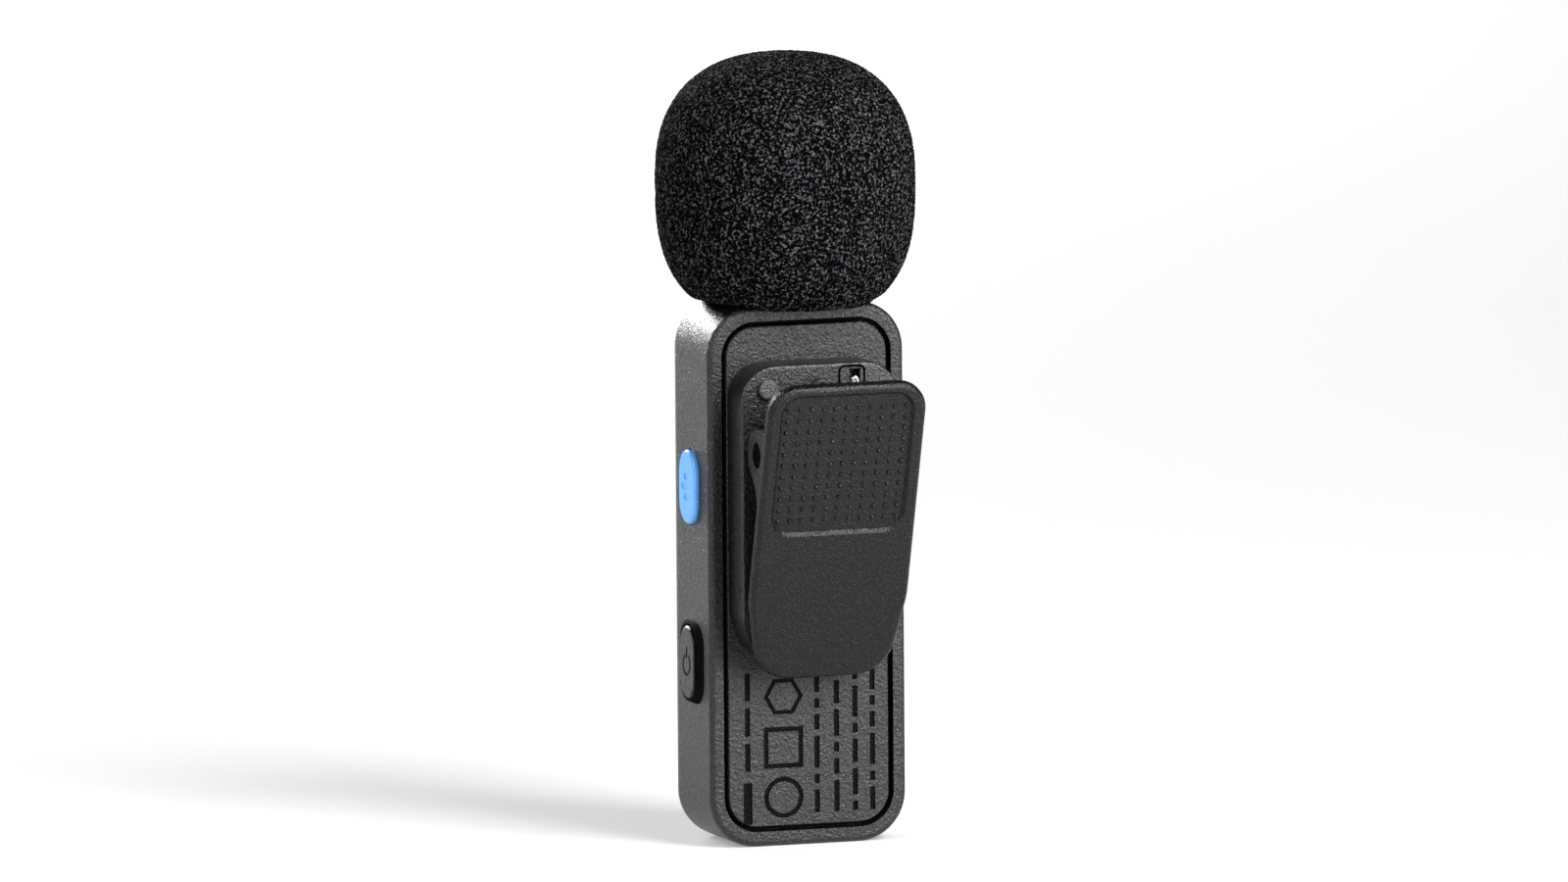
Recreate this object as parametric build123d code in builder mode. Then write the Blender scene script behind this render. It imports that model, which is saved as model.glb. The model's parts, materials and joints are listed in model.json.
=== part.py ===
"""Clip-on wireless lavalier microphone: a small transmitter case with a foam windscreen and a sprung clip.

Millimetres, +Z up. The case is centred on X = Y = 0 and its bottom face is Z = 0.
The clip and the back cover face -Y, the plain front faces +Y and the two keys are on the -X side.
"""

import os
from math import asin, cos, degrees, radians, sin

from build123d import *

os.makedirs("parts", exist_ok=True)

# ---------------------------------------------------------------- driving dimensions

# Case
case_width = 16.9
case_depth = 10.2
case_height = 44.4
case_corner_radius = 4.0
front_edge_radius = 2.4
rim_edge_radius = 0.5
side_wall = 1.6
end_wall = 1.6
front_wall = 1.2
cavity_radius = 2.4

# Back cover and the tape ring that holds it
rim_width = 1.12
rim_width_bottom = 1.24
rim_width_top = 1.22
recess_radius = 2.9
cover_gap = 0.24
cover_thickness = 1.2
cover_edge_chamfer = 0.25
gasket_thickness = 0.2
mark_depth = 0.12

# Clip base
clip_half_width = 6.85
clip_top_z = 39.9
clip_bottom_z = 14.3
clip_height = 3.4
clip_top_radius = 3.0
clip_bottom_radius = 6.0
clip_edge_radius = 0.25

# Hinge
hinge_y = -11.16
hinge_z = 33.0
pin_radius = 0.75
pin_half_length = 5.75
press_clearance = 0.01
running_clearance = 0.05
knuckle_radius = 1.35
knuckle_inner_x = 3.9
knuckle_thickness = 1.2

# Lever, measured along and square to its own plane from the hinge axis
lever_tilt = 16.8
lever_half_width = 6.8
lever_tip_half_width = 5.6
lever_top = 7.0
lever_taper_start = -12.0
lever_tip = -18.9
lever_back = 1.64
lever_thickness = 1.2
lever_edge_radius = 0.45
pad_width = 11.6
pad_top = 6.34
pad_bottom = -6.14
pad_radius = 1.8
pad_depth = 0.28
pad_wall_slope = 45
ear_lobe_radius = 2.15
ear_inner_x = 5.35
ear_outer_x = 6.48
flange_outer_x = 6.6
tooth_height = 0.22

# Keys on the -X side
key_y = -0.55
key_clearance = 0.1
noise_key_z = 29.3
noise_key_length = 6.1
noise_key_width = 3.8
noise_key_height = 0.4
power_key_z = 14.9
power_key_length = 6.0
power_key_width = 3.6
power_key_height = 0.47
key_flange_margin = 0.5
key_flange_thickness = 0.45

# Circuit board
board_back_y = 0.4
board_thickness = 0.8
board_left_x = -5.8
board_right_x = 6.4
board_bottom_z = 2.2
board_top_z = 41.2
board_screw_points = [(-4.6, 21.8), (4.6, 37.4)]

# Charging port
port_y = -1.85
port_shell_width = 8.94
port_shell_height = 3.16
port_shell_radius = 1.5
port_shell_wall = 0.3
port_shell_length = 7.3
port_setback = 0.2

# Microphone neck and grille
neck_radius = 3.6
neck_bore_radius = 3.15
neck_top_z = 47.4
grille_top_z = 52.2
grille_wall = 0.4
boot_floor_z = 43.4
boot_top_z = 46.6

# Foam windscreen
foam_radius = 10.56
foam_centre_z = 54.0
foam_half_height_up = 10.45
foam_half_height_down = 11.5
foam_roundness_up = 2.46
foam_roundness_down = 2.75
foam_bottom_z = 44.55
foam_bore_radius = 3.85
foam_bore_top_z = 52.7

# ---------------------------------------------------------------- derived dimensions

side_x = case_width / 2
front_y = case_depth / 2
back_y = -front_y
recess_width = case_width - 2 * rim_width
recess_height = case_height - rim_width_bottom - rim_width_top
recess_centre_z = rim_width_bottom + recess_height / 2
recess_depth = cover_thickness + gasket_thickness
ledge_y = back_y + recess_depth
cover_inner_y = back_y + cover_thickness
cavity_width = case_width - 2 * side_wall
cavity_height = case_height - 2 * end_wall
cavity_floor_y = front_y - front_wall
cavity_side_x = cavity_width / 2
cavity_top_z = case_height - end_wall
clip_face_y = back_y - clip_height
board_front_y = board_back_y + board_thickness
board_centre_x = (board_left_x + board_right_x) / 2
board_centre_z = (board_bottom_z + board_top_z) / 2
tilt_sin = sin(radians(lever_tilt))
tilt_cos = cos(radians(lever_tilt))
lever_front = lever_back + lever_thickness


def at_y(y):
    """Sketch plane at a Y position: sketch x is X, sketch y is Z, and it looks towards -Y."""
    return Plane.XZ.offset(-y)


def at_x(x):
    """Sketch plane at an X position: sketch x is Y, sketch y is Z, and it looks towards +X."""
    return Plane.YZ.offset(x)


def lever_plane(distance):
    """Sketch plane parallel to the lever, at a distance from the hinge axis: sketch y runs up the lever."""
    outward = (0, -tilt_cos, -tilt_sin)
    return Plane(origin=(0, hinge_y, hinge_z), x_dir=(1, 0, 0), z_dir=outward).offset(distance)


def lever_point(along, out):
    """Y and Z of a point given along the lever and out from the hinge axis."""
    return (
        hinge_y - along * tilt_sin - out * tilt_cos,
        hinge_z + along * tilt_cos - out * tilt_sin,
    )


def save(builder, label):
    """Label one finished piece and write it to its own file."""
    builder.part.label = label
    export_step(builder.part, f"parts/{label}.step")


# ---------------------------------------------------------------- case

power_collar_wall = 0.2
power_hole_margin = key_clearance + power_collar_wall + press_clearance
screw_pilot_radius = 0.7
post_radius = 1.1
post_pilot_depth = 2.0
light_pipe_x = 3.9
light_pipe_z = 31.0
light_pipe_radius = 0.6

with BuildPart() as housing_shell:
    with BuildSketch(at_y(front_y)):
        with Locations((0, case_height / 2)):
            RectangleRounded(case_width, case_height, case_corner_radius)
    extrude(amount=case_depth)
    fillet(housing_shell.faces().sort_by(Axis.Y)[-1].edges(), front_edge_radius)
    fillet(housing_shell.faces().sort_by(Axis.Y)[0].edges(), rim_edge_radius)

    with BuildSketch(at_y(back_y)):
        with Locations((0, recess_centre_z)):
            RectangleRounded(recess_width, recess_height, recess_radius)
    extrude(amount=-recess_depth, mode=Mode.SUBTRACT)

    with BuildSketch(at_y(ledge_y)):
        with Locations((0, case_height / 2)):
            RectangleRounded(cavity_width, cavity_height, cavity_radius)
    extrude(amount=-(cavity_floor_y - ledge_y), mode=Mode.SUBTRACT)

    # Posts for the circuit board, with a pilot hole each
    with BuildSketch(at_y(board_front_y)):
        with Locations(*board_screw_points):
            Circle(post_radius)
    extrude(amount=-(cavity_floor_y - board_front_y))
    with BuildSketch(at_y(board_front_y)):
        with Locations(*board_screw_points):
            Circle(screw_pilot_radius)
    extrude(amount=-post_pilot_depth, mode=Mode.SUBTRACT)

    # Openings: microphone neck, charging port, two keys and the light pipe
    with Locations((0, 0, case_height)):
        Hole(neck_radius + running_clearance, depth=end_wall)
    with BuildSketch(Plane.XY):
        with Locations((0, port_y)):
            RectangleRounded(
                port_shell_width + 2 * key_clearance,
                port_shell_height + 2 * key_clearance,
                port_shell_radius + key_clearance,
            )
    extrude(amount=end_wall, mode=Mode.SUBTRACT)
    with BuildSketch(at_x(-side_x)):
        with Locations((key_y, noise_key_z)):
            SlotOverall(
                noise_key_length + 2 * key_clearance, noise_key_width + 2 * key_clearance, rotation=90
            )
        with Locations((key_y, power_key_z)):
            SlotOverall(
                power_key_length + 2 * power_hole_margin,
                power_key_width + 2 * power_hole_margin,
                rotation=90,
            )
    extrude(amount=side_wall, mode=Mode.SUBTRACT)
    with Locations(Plane(origin=(light_pipe_x, front_y, light_pipe_z), z_dir=(0, 1, 0))):
        Hole(light_pipe_radius + press_clearance, depth=front_wall)
save(housing_shell, "housing_shell")

# ---------------------------------------------------------------- back cover

clip_screw_points = [(0, 37.85), (0, 23.5)]
clip_screw_radius = 0.6
clip_screw_hold = 1.0
mark_row_x = [0.7, 2.4, 4.0, 5.5]
mark_row_low_z = 2.6
mark_width = 0.45
mark_gap = 0.5
mark_lengths = [1.9, 0.8, 2.6, 1.3, 0.8, 2.2]
mark_ring_x = -2.2
mark_ring_z = [4.0, 8.1, 12.3]
mark_ring_size = 3.4
mark_line = 0.4
mark_column_x = -5.3
mark_bar_z = 3.6
mark_bar_length = 3.4
mark_bar_width = 0.75
mark_dash_z = [7.4, 10.3, 13.2]
mark_dash_length = 2.3

with BuildPart() as back_cover:
    with BuildSketch(at_y(cover_inner_y)):
        with Locations((0, recess_centre_z)):
            RectangleRounded(
                recess_width - 2 * cover_gap, recess_height - 2 * cover_gap, recess_radius - cover_gap
            )
    extrude(amount=cover_thickness)
    chamfer(back_cover.faces().sort_by(Axis.Y)[0].edges(), cover_edge_chamfer)

    with BuildSketch(at_y(back_y)):
        with Locations(*clip_screw_points):
            Circle(clip_screw_radius + press_clearance)
    extrude(amount=-(clip_screw_hold + 2 * press_clearance), mode=Mode.SUBTRACT)

    # Plain moulded marks: rows of dashes, a ring, two frames and a bar
    with BuildSketch(at_y(back_y)):
        for row, x in enumerate(mark_row_x):
            z = mark_row_low_z
            for step in range(len(mark_lengths)):
                length = mark_lengths[(step + 2 * row) % len(mark_lengths)]
                with Locations((x, z + length / 2)):
                    Rectangle(mark_width, length)
                z += length + mark_gap
        with Locations((mark_ring_x, mark_ring_z[0])):
            Circle(mark_ring_size / 2)
            Circle(mark_ring_size / 2 - mark_line, mode=Mode.SUBTRACT)
        with Locations((mark_ring_x, mark_ring_z[1])):
            Rectangle(mark_ring_size, mark_ring_size)
            Rectangle(mark_ring_size - 2 * mark_line, mark_ring_size - 2 * mark_line, mode=Mode.SUBTRACT)
        with Locations((mark_ring_x, mark_ring_z[2])):
            RegularPolygon(mark_ring_size / 2, 6)
            RegularPolygon(mark_ring_size / 2 - mark_line, 6, mode=Mode.SUBTRACT)
        with Locations((mark_column_x, mark_bar_z)):
            Rectangle(mark_bar_width, mark_bar_length)
        with Locations(*[(mark_column_x, z) for z in mark_dash_z]):
            Rectangle(mark_width, mark_dash_length)
    extrude(amount=-mark_depth, mode=Mode.SUBTRACT)
save(back_cover, "back_cover")

gasket_clearance = 0.05
with BuildPart() as cover_gasket:
    with BuildSketch(at_y(ledge_y)):
        with Locations((0, recess_centre_z)):
            RectangleRounded(
                recess_width - 2 * gasket_clearance,
                recess_height - 2 * gasket_clearance,
                recess_radius - gasket_clearance,
            )
        with Locations((0, case_height / 2)):
            RectangleRounded(cavity_width, cavity_height, cavity_radius, mode=Mode.SUBTRACT)
    extrude(amount=gasket_thickness)
save(cover_gasket, "cover_gasket")

# ---------------------------------------------------------------- clip base

ramp_top_z = 19.55
ramp_bottom_y = -6.9
spring_slot_left = 1.55
spring_slot_right = 3.9
spring_slot_top = 39.72
spring_slot_bottom = 35.4
spring_slot_depth = 1.6
spring_slot_radius = 0.55
spring_slot_x = (spring_slot_left + spring_slot_right) / 2
bumper_x = -4.54
bumper_z = 38.0
bumper_radius = 0.8
bumper_height = 0.5
bumper_stem_radius = 0.5
bumper_stem_length = 1.2
knuckle_root = 4.6
scallop_y = -6.9
scallop_z = 27.6
scallop_length = 4.6
scallop_depth = 0.5
scallop_bottom = scallop_z - scallop_length / 2
scallop_top = scallop_z + scallop_length / 2

with BuildPart() as clip_base:
    with BuildSketch(at_y(back_y)):
        with BuildLine():
            FilletPolyline(
                (-clip_half_width, clip_bottom_z),
                (clip_half_width, clip_bottom_z),
                (clip_half_width, clip_top_z),
                (-clip_half_width, clip_top_z),
                radius=[clip_bottom_radius, clip_bottom_radius, clip_top_radius, clip_top_radius],
                close=True,
            )
        make_face()
    extrude(amount=clip_height)

    # The lower end slopes back, parallel to the lever
    with BuildSketch(Plane.YZ):
        with BuildLine():
            Polyline(
                (clip_face_y, ramp_top_z),
                (ramp_bottom_y, clip_bottom_z),
                (clip_face_y, clip_bottom_z),
                close=True,
            )
        make_face()
    extrude(amount=clip_half_width, both=True, mode=Mode.SUBTRACT)
    fillet(clip_base.faces().sort_by(Axis.Y)[0].edges(), clip_edge_radius)

    # Knuckles that hold the hinge pin
    for knuckle_x in (-knuckle_inner_x - knuckle_thickness, knuckle_inner_x):
        with BuildSketch(at_x(knuckle_x)):
            with Locations((hinge_y, hinge_z)):
                Circle(knuckle_radius)
            with Locations((clip_face_y + clip_edge_radius, hinge_z)):
                Rectangle(2 * clip_edge_radius, knuckle_root)
            make_hull()
        extrude(amount=knuckle_thickness)
    with BuildSketch(at_x(-side_x)):
        with Locations((hinge_y, hinge_z)):
            Circle(pin_radius + press_clearance)
    extrude(amount=case_width, mode=Mode.SUBTRACT)

    # Slot for the fixed leg of the spring, screw holes and the bumper's socket
    with BuildSketch(at_y(clip_face_y)):
        with Locations((spring_slot_x, (spring_slot_bottom + spring_slot_top) / 2)):
            RectangleRounded(
                spring_slot_right - spring_slot_left,
                spring_slot_top - spring_slot_bottom,
                spring_slot_radius,
            )
    extrude(amount=-spring_slot_depth, mode=Mode.SUBTRACT)
    with BuildSketch(at_y(clip_face_y)):
        with Locations(*clip_screw_points):
            Circle(clip_screw_radius + press_clearance)
    extrude(amount=-clip_height, mode=Mode.SUBTRACT)
    with BuildSketch(at_y(clip_face_y)):
        with Locations((bumper_x, bumper_z)):
            Circle(bumper_stem_radius + press_clearance)
    extrude(amount=-bumper_stem_length, mode=Mode.SUBTRACT)

    # Shallow spindle-shaped scallop in each side wall
    for wall_x in (-clip_half_width, clip_half_width):
        with BuildSketch(at_x(wall_x)):
            with BuildLine():
                Line((scallop_y, scallop_bottom), (scallop_y, scallop_top))
                ThreePointArc(
                    (scallop_y, scallop_bottom),
                    (scallop_y + scallop_depth, scallop_z),
                    (scallop_y, scallop_top),
                )
            make_face()
        revolve(axis=Axis((wall_x, scallop_y, scallop_z), (0, 0, 1)), mode=Mode.SUBTRACT)
save(clip_base, "clip_base")

bumper_chamfer = 0.12
with BuildPart() as lever_bumper:
    with BuildSketch(at_y(clip_face_y)):
        with Locations((bumper_x, bumper_z)):
            Circle(bumper_radius)
    extrude(amount=bumper_height)
    chamfer(lever_bumper.faces().sort_by(Axis.Y)[0].edges(), bumper_chamfer)
    with BuildSketch(at_y(clip_face_y)):
        with Locations((bumper_x, bumper_z)):
            Circle(bumper_stem_radius)
    extrude(amount=-(bumper_stem_length - press_clearance))
save(lever_bumper, "lever_bumper")

clip_screw_head_radius = 0.9
clip_screw_head_height = 0.5
clip_screw_dome_radius = 0.25
cross_length = 1.1
cross_width = 0.28
cross_depth = 0.3
with BuildPart() as clip_screws:
    with BuildSketch(at_y(clip_face_y)):
        with Locations(*clip_screw_points):
            Circle(clip_screw_head_radius)
    extrude(amount=clip_screw_head_height)
    fillet(clip_screws.faces().group_by(Axis.Y)[0].edges(), clip_screw_dome_radius)
    with BuildSketch(at_y(clip_face_y)):
        with Locations(*clip_screw_points):
            Circle(clip_screw_radius)
    extrude(amount=-(clip_height + clip_screw_hold))
    with BuildSketch(at_y(clip_face_y - clip_screw_head_height)):
        with Locations(*clip_screw_points):
            Rectangle(cross_length, cross_width)
            Rectangle(cross_width, cross_length)
    extrude(amount=-cross_depth, mode=Mode.SUBTRACT)
save(clip_screws, "clip_screws")

anchor_gap = 0.2
anchor_left = spring_slot_left + anchor_gap
anchor_right = spring_slot_right - anchor_gap
anchor_top = spring_slot_top - anchor_gap
anchor_bottom = 37.3
anchor_radius = 0.35
spring_leg_x = 2.95
anchor_notch_width = 1.0
anchor_notch_top = 39.38
anchor_notch_depth = 1.0
with BuildPart() as spring_anchor:
    with BuildSketch(at_y(clip_face_y)):
        with Locations((spring_slot_x, (anchor_bottom + anchor_top) / 2)):
            RectangleRounded(anchor_right - anchor_left, anchor_top - anchor_bottom, anchor_radius)
    extrude(amount=-spring_slot_depth)
    with BuildSketch(at_y(clip_face_y)):
        with Locations((spring_leg_x, (anchor_bottom + anchor_notch_top) / 2)):
            Rectangle(anchor_notch_width, anchor_notch_top - anchor_bottom)
    extrude(amount=-anchor_notch_depth, mode=Mode.SUBTRACT)
save(spring_anchor, "spring_anchor")

# ---------------------------------------------------------------- hinge pin and spring

pin_chamfer = 0.15
with BuildPart() as hinge_pin:
    with BuildSketch(at_x(-pin_half_length)):
        with Locations((hinge_y, hinge_z)):
            Circle(pin_radius)
    extrude(amount=2 * pin_half_length)
    chamfer(hinge_pin.edges().filter_by(GeomType.CIRCLE), pin_chamfer)
save(hinge_pin, "hinge_pin")

wire_radius = 0.15
coil_radius = 1.1
coil_pitch = 0.4
coil_turns = 5 + (180 - lever_tilt) / 360
strand_spacing = 0.34
fixed_leg_x = spring_leg_x - strand_spacing / 2
free_leg_x = spring_leg_x + strand_spacing / 2
leg_y = clip_face_y - wire_radius
leg_top_z = 38.5
leg_bend_low_z = 34.6
leg_bend_high_z = 36.4
leg_bend_radius = 0.8
return_strand_length = 1.9
moving_leg_length = 5.2
leg_joint_radius = 0.17
moving_leg_x = fixed_leg_x - coil_pitch * coil_turns

coil_plane = Plane(origin=(fixed_leg_x, hinge_y, hinge_z), x_dir=(0, 1, 0), z_dir=(-1, 0, 0))
coil_path = coil_plane.location * Helix(coil_pitch, coil_pitch * coil_turns, coil_radius)
moving_leg_low = (moving_leg_x, *lever_point(0, coil_radius))
moving_leg_high = (moving_leg_x, *lever_point(moving_leg_length, coil_radius))

with BuildPart() as torsion_spring:
    with BuildLine():
        add(coil_path)
    with BuildSketch(Plane(origin=coil_path @ 0, z_dir=coil_path % 0)):
        Circle(wire_radius)
    sweep(is_frenet=True)

    # Fixed leg: up from the coil, over to the clip base, and up again
    with BuildLine():
        FilletPolyline(
            (fixed_leg_x, hinge_y + coil_radius, hinge_z),
            (fixed_leg_x, hinge_y + coil_radius, leg_bend_low_z),
            (fixed_leg_x, leg_y, leg_bend_high_z),
            (fixed_leg_x, leg_y, leg_top_z),
            radius=leg_bend_radius,
        )
    with BuildSketch(Plane.XY.offset(hinge_z)):
        with Locations((fixed_leg_x, hinge_y + coil_radius)):
            Circle(wire_radius)
    sweep()

    # Hairpin end and the short strand that comes back down
    with BuildSketch(Plane.XY.offset(leg_top_z)):
        with Locations((fixed_leg_x, leg_y)):
            Circle(wire_radius)
    revolve(axis=Axis((spring_leg_x, leg_y, leg_top_z), (0, 1, 0)), revolution_arc=180)
    with BuildSketch(Plane.XY.offset(leg_top_z)):
        with Locations((free_leg_x, leg_y)):
            Circle(wire_radius)
    extrude(amount=-return_strand_length)

    # Moving leg: straight up behind the lever, joined to the coil by a small ball
    with BuildLine():
        moving_leg = Line(moving_leg_low, moving_leg_high)
    with BuildSketch(Plane(origin=moving_leg @ 0, z_dir=moving_leg % 0)):
        Circle(wire_radius)
    sweep()
    with Locations(moving_leg_low):
        Sphere(leg_joint_radius)
save(torsion_spring, "torsion_spring")

# ---------------------------------------------------------------- lever

lever_top_radius = 2.5
lever_taper_radius = 8.0
lever_tip_radius = 3.4
flange_notch_radius = 1.25
ear_root = 0.2
ear_root_top = 2.6
ear_root_bottom = -3.6
flange_corner_top = 2.1
flange_corner_bottom = -1.6
flange_end = -4.4
pin_recess_radius = 1.05
pin_recess_depth = 0.45
tooth_pitch = 0.9
tooth_count = 4
tooth_first = -15.2
tooth_half_width = 4.6

with BuildPart() as clip_lever:
    with BuildSketch(lever_plane(lever_back)):
        with BuildLine():
            FilletPolyline(
                (-lever_half_width, lever_top),
                (-lever_half_width, lever_taper_start),
                (-lever_tip_half_width, lever_tip),
                (lever_tip_half_width, lever_tip),
                (lever_half_width, lever_taper_start),
                (lever_half_width, lever_top),
                radius=[
                    lever_top_radius,
                    lever_taper_radius,
                    lever_tip_radius,
                    lever_tip_radius,
                    lever_taper_radius,
                    lever_top_radius,
                ],
                close=True,
            )
        make_face()
    extrude(amount=lever_thickness)
    front_face = clip_lever.faces().filter_by(GeomType.PLANE).sort_by(Axis.Y)[0]
    fillet(front_face.edges(), lever_edge_radius)

    # Thumb pad, sunk a little into the front, with sloping walls
    with BuildSketch(lever_plane(lever_front)):
        with Locations((0, (pad_top + pad_bottom) / 2)):
            RectangleRounded(pad_width, pad_top - pad_bottom, pad_radius)
    extrude(amount=-pad_depth, taper=pad_wall_slope, mode=Mode.SUBTRACT)

    # Jaw teeth on the inside of the tip
    for tooth in range(tooth_count):
        tooth_along = tooth_first - tooth * tooth_pitch
        with BuildSketch(at_x(-tooth_half_width)):
            with BuildLine():
                Polyline(
                    lever_point(tooth_along + tooth_pitch / 3, lever_back),
                    lever_point(tooth_along, lever_back - tooth_height),
                    lever_point(tooth_along - tooth_pitch / 3, lever_back),
                    lever_point(tooth_along, lever_back + tooth_height),
                    close=True,
                )
            make_face()
        extrude(amount=2 * tooth_half_width)

    # Two ears: a lobe round the pin, and a slightly thicker flange along the lever
    for side in (-1, 1):
        with BuildSketch(at_x(side * ear_inner_x)):
            with Locations((hinge_y, hinge_z)):
                Circle(ear_lobe_radius)
            with BuildLine():
                Polyline(
                    lever_point(ear_root_top, lever_back + ear_root),
                    lever_point(ear_root_bottom, lever_back + ear_root),
                    lever_point(ear_root_bottom, lever_back),
                    lever_point(ear_root_top, lever_back),
                    close=True,
                )
            make_face()
            make_hull()
        extrude(amount=side * (ear_outer_x - ear_inner_x))
        with BuildSketch(at_x(side * ear_inner_x)):
            with BuildLine():
                Polyline(
                    lever_point(ear_root_top, lever_back + ear_root),
                    lever_point(flange_corner_top, 0),
                    lever_point(flange_corner_bottom, 0),
                    lever_point(flange_end, lever_back + ear_root),
                    close=True,
                )
            make_face()
            with Locations((hinge_y, hinge_z)):
                Circle(flange_notch_radius, mode=Mode.SUBTRACT)
        extrude(amount=side * (flange_outer_x - ear_inner_x))
        with BuildSketch(at_x(side * ear_inner_x)):
            with Locations((hinge_y, hinge_z)):
                Circle(pin_radius + running_clearance)
        extrude(amount=side * (flange_outer_x - ear_inner_x), mode=Mode.SUBTRACT)
        with BuildSketch(at_x(side * flange_outer_x)):
            with Locations((hinge_y, hinge_z)):
                Circle(pin_recess_radius)
        extrude(amount=-side * pin_recess_depth, mode=Mode.SUBTRACT)
save(clip_lever, "clip_lever")

# ---------------------------------------------------------------- keys and their switches

wall_inner_x = -cavity_side_x
flange_inner_x = wall_inner_x + running_clearance + key_flange_thickness
plunger_outer_x = -5.9
plunger_length = 1.15
plunger_height = 1.5
plunger_thickness = 0.8
switch_outer_x = -5.5
switch_inner_x = -3.6
switch_length = 3.5
switch_bottom_y = -1.45
switch_bore_depth = 1.1
key_top_radius = 0.28
icon_depth = 0.08


def key_body(centre_z, length, width, height):
    """One key: a crowned pill outside the wall, a flange inside it and a stub that meets the plunger."""
    with BuildPart() as key:
        with BuildSketch(at_x(-side_x - height)):
            with Locations((key_y, centre_z)):
                SlotOverall(length, width, rotation=90)
        extrude(amount=height + side_wall + running_clearance)
        fillet(key.faces().sort_by(Axis.X)[0].edges(), key_top_radius)
        with BuildSketch(at_x(wall_inner_x + running_clearance)):
            with Locations((key_y, centre_z)):
                SlotOverall(length + 2 * key_flange_margin, width + 2 * key_flange_margin, rotation=90)
        extrude(amount=key_flange_thickness)
        with BuildSketch(at_x(flange_inner_x)):
            with Locations((key_y, centre_z)):
                Circle(plunger_thickness / 2)
        extrude(amount=plunger_outer_x - flange_inner_x)
    return key


noise_body = key_body(noise_key_z, noise_key_length, noise_key_width, noise_key_height)
bar_width = 0.5
bar_spacing = 0.85
bar_lengths = [1.1, 2.2, 1.1]
with BuildPart() as noise_button:
    add(noise_body.part)
    with BuildSketch(at_x(-side_x - noise_key_height)):
        for index, bar_length in enumerate(bar_lengths):
            with Locations((key_y, noise_key_z + (index - 1) * bar_spacing)):
                SlotOverall(bar_length, bar_width)
    extrude(amount=icon_depth, mode=Mode.SUBTRACT)
save(noise_button, "noise_button")

power_body = key_body(power_key_z, power_key_length, power_key_width, power_key_height)
icon_radius = 0.95
icon_line = 0.26
icon_gap = 0.75
icon_z = power_key_z - 0.2
with BuildPart() as power_button:
    add(power_body.part)
    with BuildSketch(at_x(-side_x - power_key_height)):
        with Locations((key_y, icon_z)):
            Circle(icon_radius)
            Circle(icon_radius - icon_line, mode=Mode.SUBTRACT)
        with Locations((key_y, icon_z + icon_radius)):
            Rectangle(icon_gap, icon_radius, mode=Mode.SUBTRACT)
            Rectangle(icon_line, icon_radius)
    extrude(amount=icon_depth, mode=Mode.SUBTRACT)
save(power_button, "power_button")

bezel_width = 5.9
bezel_length = 6.7
bezel_corner_radius = 1.9
bezel_height = 0.27
bezel_top_width = 4.3
bezel_top_length = 6.4
bezel_top_radius = 1.8
with BuildPart() as power_button_bezel:
    with BuildSketch(at_x(-side_x)):
        with Locations((key_y, power_key_z)):
            RectangleRounded(bezel_width, bezel_length, bezel_corner_radius)
    with BuildSketch(at_x(-side_x - bezel_height)):
        with Locations((key_y, power_key_z)):
            RectangleRounded(bezel_top_width, bezel_top_length, bezel_top_radius)
    loft()
    with BuildSketch(at_x(-side_x)):
        with Locations((key_y, power_key_z)):
            SlotOverall(
                power_key_length + 2 * (power_hole_margin - press_clearance),
                power_key_width + 2 * (power_hole_margin - press_clearance),
                rotation=90,
            )
    extrude(amount=side_wall)
    with BuildSketch(at_x(-side_x - bezel_height)):
        with Locations((key_y, power_key_z)):
            SlotOverall(
                power_key_length + 2 * key_clearance, power_key_width + 2 * key_clearance, rotation=90
            )
    extrude(amount=bezel_height + side_wall, mode=Mode.SUBTRACT)
save(power_button_bezel, "power_button_bezel")

for switch_name, switch_z in (("noise_switch", noise_key_z), ("power_switch", power_key_z)):
    with BuildPart() as switch:
        with BuildSketch(at_x(switch_outer_x)):
            with Locations(((switch_bottom_y + board_back_y) / 2, switch_z)):
                Rectangle(board_back_y - switch_bottom_y, switch_length)
        extrude(amount=switch_inner_x - switch_outer_x)
        with BuildSketch(at_x(switch_outer_x)):
            with Locations((key_y, switch_z)):
                Rectangle(plunger_thickness + 2 * key_clearance, plunger_height + 2 * key_clearance)
        extrude(amount=switch_bore_depth, mode=Mode.SUBTRACT)
    save(switch, switch_name)
    with BuildPart() as plunger:
        with BuildSketch(at_x(plunger_outer_x)):
            with Locations((key_y, switch_z)):
                Rectangle(plunger_thickness, plunger_height)
        extrude(amount=plunger_length)
    save(plunger, f"{switch_name}_plunger")

# ---------------------------------------------------------------- circuit board and what is on it

board_corner_radius = 1.6
board_hole_radius = 0.8
with BuildPart() as circuit_board:
    with BuildSketch(at_y(board_front_y)):
        with Locations((board_centre_x, board_centre_z)):
            RectangleRounded(board_right_x - board_left_x, board_top_z - board_bottom_z, board_corner_radius)
        with Locations(*board_screw_points):
            Circle(board_hole_radius, mode=Mode.SUBTRACT)
    extrude(amount=board_thickness)
save(circuit_board, "circuit_board")

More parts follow.
